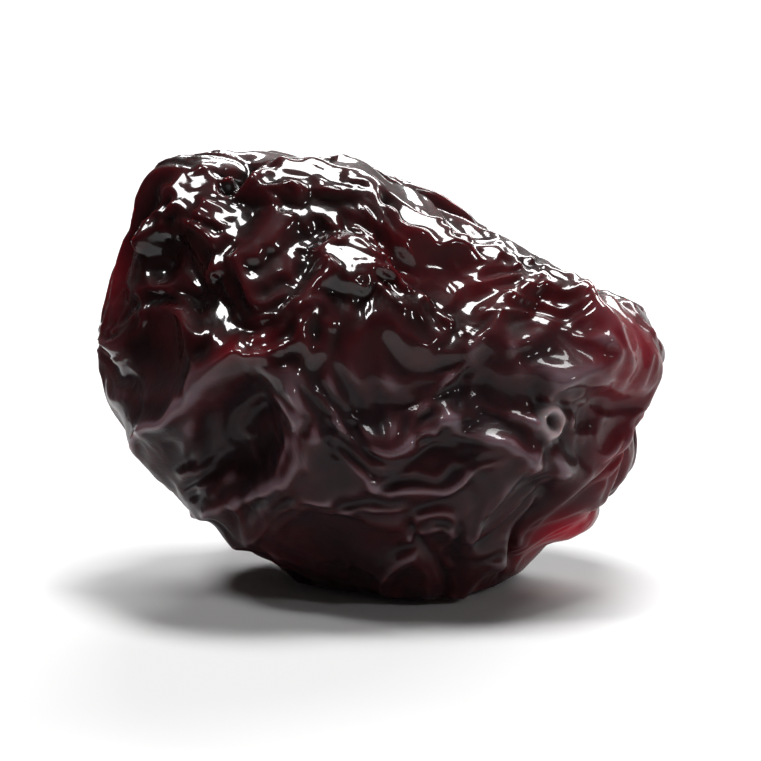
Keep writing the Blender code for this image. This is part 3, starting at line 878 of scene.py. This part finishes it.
@dataclass(frozen=True)
class CherrySkinFinish:
    """Sun-dried dark cherry skin with a sticky film of its own sugar and a little oil.

    The skin's own tone is nearly black. Painted light and shade are mixed into its colour: painted shade
    makes the creases near black, painted light lifts the crests to oxblood, and a painted deep-red light
    stands for light let through where little flesh lies behind the skin. On the rubbed top the film is
    smooth and whole, and gives crisp white lights. Low down the film thins in the hollows, and a painted
    lilac-grey sheen, which stands for the pale floor's reflection, pales the skin and most of all the
    crests, as painted light lines.
    The callus where the stem sat is a pale ring, partly its own paler tone and partly a painted highlight.
    """

    name: str = "dried_cherry_skin"
    # deep is the skin's own near-black tone. Mixed towards oxblood by how far the skin stands out, full
    # deep in the creases is painted shade and oxblood on the crests is painted light.
    deep: str = "#150506"
    oxblood_and_crest_light: str = "#380a0f"
    # A lilac-grey painted sheen: low down it stands for the pale floor's reflection, on the crests for
    # painted light lines.
    painted_sheen: str = "#6c5a62"
    # Painted deep-red light, which stands for light let through the flesh.
    painted_glow_crimson: str = "#b4102a"
    # A pale ring on the callus: partly the scar's own paler tone, partly a painted highlight.
    callus: str = "#cdbfc2"
    callus_tone_and_highlight_share: float = 0.6
    share_level: float = 0.3
    painted_crest_and_crease_rise: float = 0.8
    share_stray: float = 0.35
    # The painted sheen's share, even low down and more on crests, and the heights over which it and the
    # film's thinning come in.
    painted_sheen_even: float = 0.07
    painted_sheen_on_crest: float = 0.70
    painted_sheen_crest_from: float = 0.25
    painted_sheen_and_film_top: float = 9.8 * MM
    painted_sheen_and_film_full: float = 7.8 * MM
    painted_sheen_and_film_rise_right: float = 0.10
    roughness: tuple[float, float] = (0.34, 0.50)
    ior: float = 1.43
    base_specular: float = 0.08
    film: tuple[float, float] = (1.0, 0.25)
    film_thinning_on_crest: float = 0.45
    film_roughness: float = 0.07
    scatter: float = 0.30
    scatter_radius: tuple[float, float, float] = (1.0, 0.16, 0.10)
    scatter_scale: float = 0.9 * MM
    mottle_size: float = 2.2 * MM
    mottle_detail: float = 3.0
    mottle_range: tuple[float, float] = (0.35, 0.65)
    pucker_size: float = 0.34 * MM
    pucker_depth: float = 0.018 * MM
    pucker_detail: float = 2.0
    pucker_twist: float = 0.6
    # Sugar grit is 0.02 to 0.05 mm, finer than two pixels of the picture, so it is drawn coarser.
    grit_size: float = 0.10 * MM
    grit_depth: float = 0.004 * MM
    grit_detail: float = 1.0

    def build(self) -> bpy.types.Material:
        """Builds the material.

        Returns:
            The finished material. It reads the mesh's attributes standing, painted_glow and callus.
        """
        material = bpy.data.materials.new(self.name)
        material.use_nodes = True
        tree = material.node_tree
        tree.nodes.clear()
        where = add_node(tree, "TexCoord").outputs["Object"]
        # low is 0 on the top and 1 low down, a little higher on the right: there the painted sheen is mixed
        # in and the film thins.
        leaning = {1: (-self.painted_sheen_and_film_rise_right, 0.0, 1.0)}
        along = {"operation": "DOT_PRODUCT"}
        height = add_node(tree, "VectorMath", along, leaning, {0: where}).outputs["Value"]
        span = {"From Min": self.painted_sheen_and_film_top, "From Max": self.painted_sheen_and_film_full}
        soft = {"interpolation_type": "SMOOTHSTEP"}
        low = add_node(tree, "MapRange", soft, span, {"Value": height}).outputs["Result"]
        scales = {"Scale": 1 / self.mottle_size, "Detail": self.mottle_detail}
        mottle = add_node(tree, "TexNoise", None, scales, {"Vector": where}).outputs["Fac"]
        span = {
            "From Min": self.mottle_range[0], "From Max": self.mottle_range[1],
            "To Min": self.roughness[0], "To Max": self.roughness[1],
        }
        rough = add_node(tree, "MapRange", None, span, {"Value": mottle}).outputs["Result"]
        standing = add_node(tree, "Attribute", {"attribute_name": "standing"}).outputs["Fac"]
        span = {"To Min": 1.0, "To Max": self.film_thinning_on_crest}
        hollow = add_node(tree, "MapRange", None, span, {"Value": standing}).outputs["Result"]
        dull = add_node(tree, "Math", {"operation": "MULTIPLY"}, None, {0: hollow, 1: low}).outputs[0]
        span = {"To Min": self.film[0], "To Max": self.film[1]}
        film = add_node(tree, "MapRange", None, span, {"Value": dull}).outputs["Result"]
        skin = add_node(
            tree, "BsdfPrincipled", None,
            {
                "IOR": self.ior, "Specular IOR Level": self.base_specular, "Coat IOR": self.ior,
                "Coat Roughness": self.film_roughness, "Subsurface Weight": self.scatter,
                "Subsurface Radius": self.scatter_radius, "Subsurface Scale": self.scatter_scale,
            },
            {
                "Base Color": self.colour(tree, low, mottle, standing), "Roughness": rough,
                "Coat Weight": film, "Normal": self.pucker(tree, where),
            },
        )
        add_node(tree, "OutputMaterial", None, None, {"Surface": skin.outputs["BSDF"]})
        return material

    def colour(
        self,
        tree: bpy.types.NodeTree,
        low: bpy.types.NodeSocket,
        mottle: bpy.types.NodeSocket,
        standing: bpy.types.NodeSocket,
    ) -> bpy.types.NodeSocket:
        """Mixes the skin's colour with painted light: painted shade in creases, painted oxblood light on
        crests, a painted deep-red light through the flesh, a painted lilac-grey sheen, and the callus's
        pale ring.

        Args:
            tree: The material's node tree.
            low: 0 on the top and 1 low down, where the painted sheen is mixed in and the film thins.
            mottle: A noise of about 0.5.
            standing: -1 in creases to 1 on crests.

        Returns:
            The colour's socket.
        """
        # painted_glow: the share of painted deep-red light let through the flesh.
        painted_glow = add_node(tree, "Attribute", {"attribute_name": "painted_glow"}).outputs["Fac"]
        span = {
            "From Min": self.mottle_range[0], "From Max": self.mottle_range[1],
            "To Min": -self.share_stray, "To Max": self.share_stray,
        }
        uneven = add_node(tree, "MapRange", None, span, {"Value": mottle}).outputs["Result"]
        # Painted shade and light: the creases go to full deep and the crests towards oxblood, over the
        # random mottle.
        rise = {1: self.painted_crest_and_crease_rise, 2: self.share_level}
        painted_crest_and_crease_share = add_node(tree, "Math", {"operation": "MULTIPLY_ADD"}, rise, {0: standing}).outputs[0]
        clamped = {"operation": "ADD", "use_clamp": True}
        share = add_node(tree, "Math", clamped, None, {0: painted_crest_and_crease_share, 1: uneven}).outputs[0]
        colours = {6: to_linear(self.deep), 7: to_linear(self.oxblood_and_crest_light)}
        dark = add_node(tree, "Mix", {"data_type": "RGBA"}, colours, {0: share}).outputs[2]
        painted_glow_colour = {7: to_linear(self.painted_glow_crimson)}
        red = add_node(tree, "Mix", {"data_type": "RGBA"}, painted_glow_colour, {0: painted_glow, 6: dark}).outputs[2]
        # Painted sheen: an even share low down for the pale floor's reflection, rising on crests as painted
        # light lines.
        span = {
            "From Min": self.painted_sheen_crest_from, "From Max": 1.0,
            "To Min": self.painted_sheen_even, "To Max": self.painted_sheen_on_crest,
        }
        soft = {"interpolation_type": "SMOOTHSTEP"}
        left = add_node(tree, "MapRange", soft, span, {"Value": standing}).outputs["Result"]
        painted_sheen_share = add_node(tree, "Math", {"operation": "MULTIPLY"}, None, {0: left, 1: low}).outputs[0]
        painted_sheen_colour = {7: to_linear(self.painted_sheen)}
        skin = add_node(tree, "Mix", {"data_type": "RGBA"}, painted_sheen_colour, {0: painted_sheen_share, 6: red}).outputs[2]
        callus = add_node(tree, "Attribute", {"attribute_name": "callus"}).outputs["Fac"]
        # The callus's pale ring, partly its own paler tone and partly a painted highlight.
        part = {1: self.callus_tone_and_highlight_share}
        ring = add_node(tree, "Math", {"operation": "MULTIPLY"}, part, {0: callus}).outputs[0]
        pale = {7: to_linear(self.callus)}
        return add_node(tree, "Mix", {"data_type": "RGBA"}, pale, {0: ring, 6: skin}).outputs[2]

    def pucker(self, tree: bpy.types.NodeTree, where: bpy.types.NodeSocket) -> bpy.types.NodeSocket:
        """Makes the finest relief: puckers a third of a millimetre wide, and a grit of dried sugar.

        Args:
            tree: The material's node tree.
            where: Object coordinates.

        Returns:
            The bent normal's socket.
        """
        wide = {
            "Scale": 1 / self.pucker_size, "Detail": self.pucker_detail, "Distortion": self.pucker_twist,
        }
        fine = {"Scale": 1 / self.grit_size, "Detail": self.grit_detail}
        puckers = add_node(tree, "TexNoise", None, wide, {"Vector": where}).outputs["Fac"]
        grit = add_node(tree, "TexNoise", None, fine, {"Vector": where}).outputs["Fac"]
        deep = {"Strength": 1.0, "Distance": self.pucker_depth}
        shallow = {"Strength": 1.0, "Distance": self.grit_depth}
        bent = add_node(tree, "Bump", None, deep, {"Height": puckers}).outputs["Normal"]
        return add_node(tree, "Bump", None, shallow, {"Height": grit, "Normal": bent}).outputs["Normal"]


@dataclass(frozen=True)
class Lie:
    """How the fruit lies: tipped back, sagging a little near the floor, and flat on a four-cornered foot.

    The foot's corners go anticlockwise round it, as seen from above, in millimetres from the middle of
    the fruit's box.
    """

    foot_drop: float = 6.75
    tip_back: float = math.radians(13.0)
    foot_corners: tuple[tuple[float, float], ...] = ((-2.4, 1.6), (-2.4, -1.6), (2.4, -3.1), (2.2, 3.3))
    foot_drawn_in: float = 0.35
    foot_lift: float = 0.22
    foot_edge: float = 0.30
    sag: float = 0.45
    sag_reach: float = 0.90

    def tipped_back(self, points: np.ndarray) -> np.ndarray:
        """Tips the skin back and centres it: a turn about X, and a lift by the foot's drop.

        Args:
            points: Points in the facing frame, in millimetres.

        Returns:
            Points over the floor, in millimetres, with their box's middle over the CAD solid's.
        """
        cos, sin = math.cos(self.tip_back), math.sin(self.tip_back)
        across, away, up = points.T
        tipped = np.stack([across, away * cos + up * sin, up * cos - away * sin + self.foot_drop], axis=1)
        box = np.array([list(corner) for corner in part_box(NODE)]) / MM
        middle = (box.sum(axis=0) - tipped.min(axis=0) - tipped.max(axis=0)) / 2
        return tipped + np.array([middle[0], middle[1], 0])

    def beyond_foot(self, points: np.ndarray) -> np.ndarray:
        """Measures how far points lie outside the foot: the greatest distance past its four sides.

        Args:
            points: Points over the floor, in millimetres.

        Returns:
            Distances, below zero inside the foot.
        """
        corners = np.array(self.foot_corners)
        beyond = np.full(len(points), -np.inf)
        for start, end in zip(corners, np.roll(corners, -1, axis=0)):
            along = (end - start) / np.linalg.norm(end - start)
            beyond = np.maximum(beyond, (points[:, :2] - start) @ np.array([along[1], -along[0]]))
        return beyond

    def set_down(self, points: np.ndarray) -> np.ndarray:
        """Sags the skin towards the floor and presses it flat on the foot.

        Formula: the height falls by the sag times a bell curve of itself. It stays above zero on the
        foot, and above a level that rises to the foot's lift around it.

        Args:
            points: Points over the floor, in millimetres.

        Returns:
            The points as they lie.
        """
        x, y, z = points.T
        sagged = z - self.sag * np.exp(-((z / self.sag_reach) ** 2))
        past_flat = np.maximum(self.beyond_foot(points) + self.foot_drawn_in, 0)
        lowest = self.foot_lift * (1 - np.exp(-past_flat / self.foot_edge))
        return np.stack([x, y, np.maximum(sagged, lowest)], axis=1)


@dataclass(frozen=True)
class DriedCherry:
    """The whole fruit: its skin as one closed mesh, and its finish."""

    grid: CubeGrid = CubeGrid(128)
    body: SmoothBody = SmoothBody()
    lie: Lie = Lie()
    finish: CherrySkinFinish = CherrySkinFinish()
    standing_reach: int = 14
    standing_full: float = 0.09
    standing_blur: int = 3
    # Places painted deep red, as painted light let through the flesh.
    painted_glow_spots: tuple[PaintedGlowSpot, ...] = (
        PaintedGlowSpot(8.4, 1.0, 2.0, 0.29),
        PaintedGlowSpot(8.0, -2.6, 1.6, 0.20),
        PaintedGlowSpot(6.2, -5.2, 1.3, 1.0),
        PaintedGlowSpot(3.6, 3.0, 1.4, 0.08),
        PaintedGlowSpot(5.6, 2.3, 1.2, 0.08),
        PaintedGlowSpot(0.8, 4.0, 1.2, 0.08),
        PaintedGlowSpot(-4.6, 0.9, 0.5, 0.12),
        PaintedGlowSpot(-3.6, 1.1, 0.5, 0.12),
        PaintedGlowSpot(-8.8, 3.4, 1.3, 0.15),
        PaintedGlowSpot(2.4, -7.4, 1.0, 0.4),
    )
    painted_glow_waves: Waves = Waves(6.0, 201)
    painted_glow_waves_least: float = 0.4
    painted_glow_behind: float = 0.08

    def standing_out(self, points: np.ndarray, normals: np.ndarray, squares: np.ndarray) -> np.ndarray:
        """Measures how far each point stands out of its neighbourhood.

        Formula: the points are moved towards the middle of their neighbours a few times, and the measure
        is how far the point lies outside its smoothed self, over the height that counts as full. The
        measure is then evened out a little in the same way.

        Args:
            points: The skin, in millimetres.
            normals: Outward directions.
            squares: The grid's squares.

        Returns:
            About -1 in creases to 1 on crests.
        """
        axes = [self.evened(axis, squares, self.standing_reach) for axis in points.T]
        outside = ((points - np.stack(axes, axis=1)) * normals).sum(axis=1)
        return np.clip(self.evened(outside, squares, self.standing_blur) / self.standing_full, -1, 1)

    @staticmethod
    def evened(values: np.ndarray, squares: np.ndarray, times: int) -> np.ndarray:
        """Evens out a value over the mesh.

        Formula: each time, every point's value moves half the way to the mean of its neighbours'.

        Args:
            values: One value a point.
            squares: The grid's squares.
            times: How many times the values move.

        Returns:
            The evened values.
        """
        starts = squares.reshape(-1)
        ends = np.roll(squares, -1, axis=1).reshape(-1)
        count = np.bincount(starts, minlength=len(values))
        for _ in range(times):
            values = 0.5 * (values + np.bincount(starts, values[ends], len(values)) / count)
        return values

    def painted_glow_share(self, points: np.ndarray) -> np.ndarray:
        """Gives the share of painted deep-red light, which stands for light let through the flesh: bells
        round the stated spots, and the peaks of a slow field behind.

        Args:
            points: Points of the smooth body.

        Returns:
            0 where none is painted, to 1.
        """
        painted_glow = np.zeros(len(points))
        for spot in self.painted_glow_spots:
            middle = self.body.on_face(spot.across, spot.up)
            aside = ((points - middle) ** 2).sum(axis=1)
            painted_glow = np.maximum(painted_glow, spot.strength * np.exp(-aside / spot.reach**2))
        behind = 1 / (1 + np.exp(-points[:, 1]))
        peaks = np.clip(self.painted_glow_waves.at(points) - self.painted_glow_waves_least, 0, 1)
        return np.clip(painted_glow + self.painted_glow_behind * behind * peaks, 0, 1)

    def build(self) -> bpy.types.Object:
        """Builds the skin's mesh, dresses it and puts it in the place of the CAD solid.

        Returns:
            The finished piece.
        """
        lattice, squares = self.grid.lattice()
        directions = self.grid.directions(lattice)
        smooth = self.body.surface(directions)
        normals = self.body.normals(directions)
        folds = Folds(self.body)
        height, keep = PressedSpots(self.body).press(smooth, normals, folds.relief(smooth))
        wrinkles = Wrinkles(folds)
        height += keep * wrinkles.relief(smooth) + wrinkles.scar_ring(smooth)
        skin = smooth + normals * height[:, None]
        mesh = bpy.data.meshes.new(NODE + "_skin")
        mesh.vertices.add(len(skin))
        laid = self.lie.set_down(self.lie.tipped_back(skin)) * MM
        mesh.vertices.foreach_set("co", laid.astype(np.float32).ravel())
        mesh.loops.add(squares.size)
        mesh.loops.foreach_set("vertex_index", squares.astype(np.int32).ravel())
        mesh.polygons.add(len(squares))
        mesh.polygons.foreach_set("loop_start", np.arange(0, squares.size, 4, dtype=np.int32))
        mesh.update(calc_edges=True)
        mesh.validate()
        mesh.shade_smooth()
        # standing drives the painted crease shade and crest light, painted_glow the painted light through
        # the flesh, and callus a pale ring that is partly a painted highlight.
        for name, values in (
            ("standing", self.standing_out(skin, normals, squares)),
            ("painted_glow", self.painted_glow_share(smooth)),
            ("callus", wrinkles.callus(smooth)),
        ):
            layer = mesh.attributes.new(name, "FLOAT", "POINT")
            layer.data.foreach_set("value", values.astype(np.float32))
        mesh.materials.append(self.finish.build())
        piece = bpy.data.objects.new(NODE + "_skin", mesh)
        bpy.context.scene.collection.objects.link(piece)
        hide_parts(NODE)
        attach(piece, "root")
        return piece


@dataclass(frozen=True)
class Softbox:
    """A rectangular studio light, aimed at the fruit: place and size in metres, power in watts."""

    name: str
    place: tuple[float, float, float]
    size: tuple[float, float]
    power: float
    aim: tuple[float, float, float] = (0.0, 0.0, 0.007)

    def build(self) -> bpy.types.Object:
        """Builds the light, turned to its aim.

        Returns:
            The light's object.
        """
        light = bpy.data.lights.new(self.name, "AREA")
        light.shape = "RECTANGLE"
        light.size, light.size_y = self.size
        light.energy = self.power
        item = bpy.data.objects.new(self.name, light)
        bpy.context.scene.collection.objects.link(item)
        item.location = self.place
        item.rotation_mode = "QUATERNION"
        item.rotation_quaternion = (Vector(self.place) - Vector(self.aim)).to_track_quat("Z", "Y")
        return item


@dataclass(frozen=True)
class Studio:
    """A white table in a white room, with soft lights above, a small one in front and a dark card."""

    floor_size: float = 6.0
    floor_drop: float = 0.01 * MM
    floor_colour: str = "#d0d0d0"
    paper_roughness: float = 0.7
    flag_colour: str = "#160a0c"
    flag_place: float = -0.018
    flag_reach: tuple[float, float] = (-0.020, 0.030)
    flag_top: float = 0.016
    backdrop_colour: str = "#ffffff"
    room_colour: str = "#f8ece8"
    wall_light: float = 0.18
    ceiling_light: float = 0.06
    wall_top: float = 0.55
    left_wall_share: float = 0.35
    left_wall_start: float = -1.0
    left_wall_end: float = 0.3
    camera_height_deg: float = 13.0
    camera_distance: float = 0.30
    frame_share: float = 0.745
    sensor: float = 36.0 * MM
    clip_start: float = 0.01
    aim: tuple[float, float, float] = (0.0, 0.0, 0.0068)
    lights: tuple[Softbox, ...] = (
        Softbox("overhead_softbox", (0.04, 0.05, 0.29), (0.13, 0.08), 1.0),
        Softbox("left_softbox", (-0.15, -0.03, 0.25), (0.05, 0.05), 0.28),
        Softbox("back_strip", (0.10, 0.29, 0.19), (0.30, 0.08), 1.2),
        Softbox("right_catch_light", (0.22, -0.14, 0.153), (0.028, 0.028), 0.10),
    )

    def card(
        self, name: str, corners: list[tuple[float, float, float]], colour: str
    ) -> bpy.types.Object:
        """Builds one flat card of matt paper, which shows an even tone and no lights of its own.

        Args:
            name: The card's name.
            corners: Its four corners in turn, in metres.
            colour: The paper's colour as sRGB hex.

        Returns:
            The card's object.
        """
        mesh = bpy.data.meshes.new(name)
        mesh.from_pydata(corners, [], [(0, 1, 2, 3)])
        paper = bpy.data.materials.new(name + "_matt_paper")
        paper.use_nodes = True
        tree = paper.node_tree
        tree.nodes.clear()
        values = {"Base Color": to_linear(colour), "Roughness": self.paper_roughness}
        shader = add_node(tree, "BsdfPrincipled", None, values)
        add_node(tree, "OutputMaterial", None, None, {"Surface": shader.outputs["BSDF"]})
        mesh.materials.append(paper)
        item = bpy.data.objects.new(name, mesh)
        bpy.context.scene.collection.objects.link(item)
        return item

    def floor(self) -> bpy.types.Object:
        """Builds the white table top, one square just under the fruit.

        Returns:
            The table top's object.
        """
        half, low = self.floor_size / 2, -self.floor_drop
        corners = [(-half, -half, low), (half, -half, low), (half, half, low), (-half, half, low)]
        return self.card("table_top", corners, self.floor_colour)

    def flag(self) -> bpy.types.Object:
        """Builds the dark card that stands close on the left, where only reflections see it.

        Returns:
            The card's object.
        """
        (near, far), x, top = self.flag_reach, self.flag_place, self.flag_top
        corners = [(x, near, 0.0), (x, far, 0.0), (x, far, top), (x, near, top)]
        item = self.card("left_flag", corners, self.flag_colour)
        item.visible_camera = False
        item.visible_shadow = False
        item.visible_diffuse = False
        return item

    def room(self) -> None:
        """Sets the room: plain white where it is seen, and pale walls under a dark ceiling where it lights.

        The left wall is the darkest one. The world's Generated coordinates are the ray's direction.
        """
        world = bpy.data.worlds.new("white_room")
        world.use_nodes = True
        tree = world.node_tree
        tree.nodes.clear()
        white = {"Color": to_linear(self.backdrop_colour), "Strength": 1.0}
        way = add_node(tree, "TexCoord").outputs["Generated"]
        axes = add_node(tree, "SeparateXYZ", None, None, {"Vector": way}).outputs
        soft = {"interpolation_type": "SMOOTHSTEP"}
        span = {"From Max": self.wall_top, "To Min": self.wall_light, "To Max": self.ceiling_light}
        wall = add_node(tree, "MapRange", soft, span, {"Value": axes["Z"]}).outputs["Result"]
        span = {
            "From Min": self.left_wall_start, "From Max": self.left_wall_end,
            "To Min": self.left_wall_share,
        }
        side = add_node(tree, "MapRange", soft, span, {"Value": axes["X"]}).outputs["Result"]
        strength = add_node(tree, "Math", {"operation": "MULTIPLY"}, None, {0: wall, 1: side}).outputs[0]
        pale = {"Color": to_linear(self.room_colour)}
        seen = add_node(tree, "Background", None, white).outputs["Background"]
        felt = add_node(tree, "Background", None, pale, {"Strength": strength}).outputs["Background"]
        ray = add_node(tree, "LightPath").outputs["Is Camera Ray"]
        mixed = add_node(tree, "MixShader", None, None, {0: ray, 1: felt, 2: seen}).outputs[0]
        add_node(tree, "OutputWorld", None, None, {"Surface": mixed})
        bpy.context.scene.world = world

    def camera(self) -> bpy.types.Object:
        """Builds a long macro lens a step back, at the photograph's height over the table.

        Returns:
            The camera's object, which the scene then uses.
        """
        high = math.radians(self.camera_height_deg)
        back = Vector((0.0, -math.cos(high), math.sin(high)))
        length = CAD_BOX[1].x - CAD_BOX[0].x
        data = bpy.data.cameras.new("macro_camera")
        data.sensor_width = self.sensor / MM
        data.lens = data.sensor_width * self.camera_distance * self.frame_share / length
        data.clip_start = self.clip_start
        camera = bpy.data.objects.new("macro_camera", data)
        bpy.context.scene.collection.objects.link(camera)
        camera.location = Vector(self.aim) + back * self.camera_distance
        camera.rotation_mode = "QUATERNION"
        camera.rotation_quaternion = back.to_track_quat("Z", "Y")
        bpy.context.scene.camera = camera
        return camera

    def build(self) -> None:
        """Builds the table, the dark card, the room, the lights and the camera."""
        self.floor()
        self.flag()
        self.room()
        for light in self.lights:
            light.build()
        self.camera()
        bpy.context.scene.view_settings.view_transform = "Standard"


def main() -> None:
    """Builds the fruit and its studio."""
    logging.basicConfig(level=logging.INFO, format="%(name)s: %(message)s")
    piece = DriedCherry().build()
    LOG.info("%s has %d squares", piece.name, len(piece.data.polygons))
    studio = Studio()
    studio.build()
    LOG.info("the studio has %d lights", len(studio.lights))


if __name__ == "__main__":
    main()
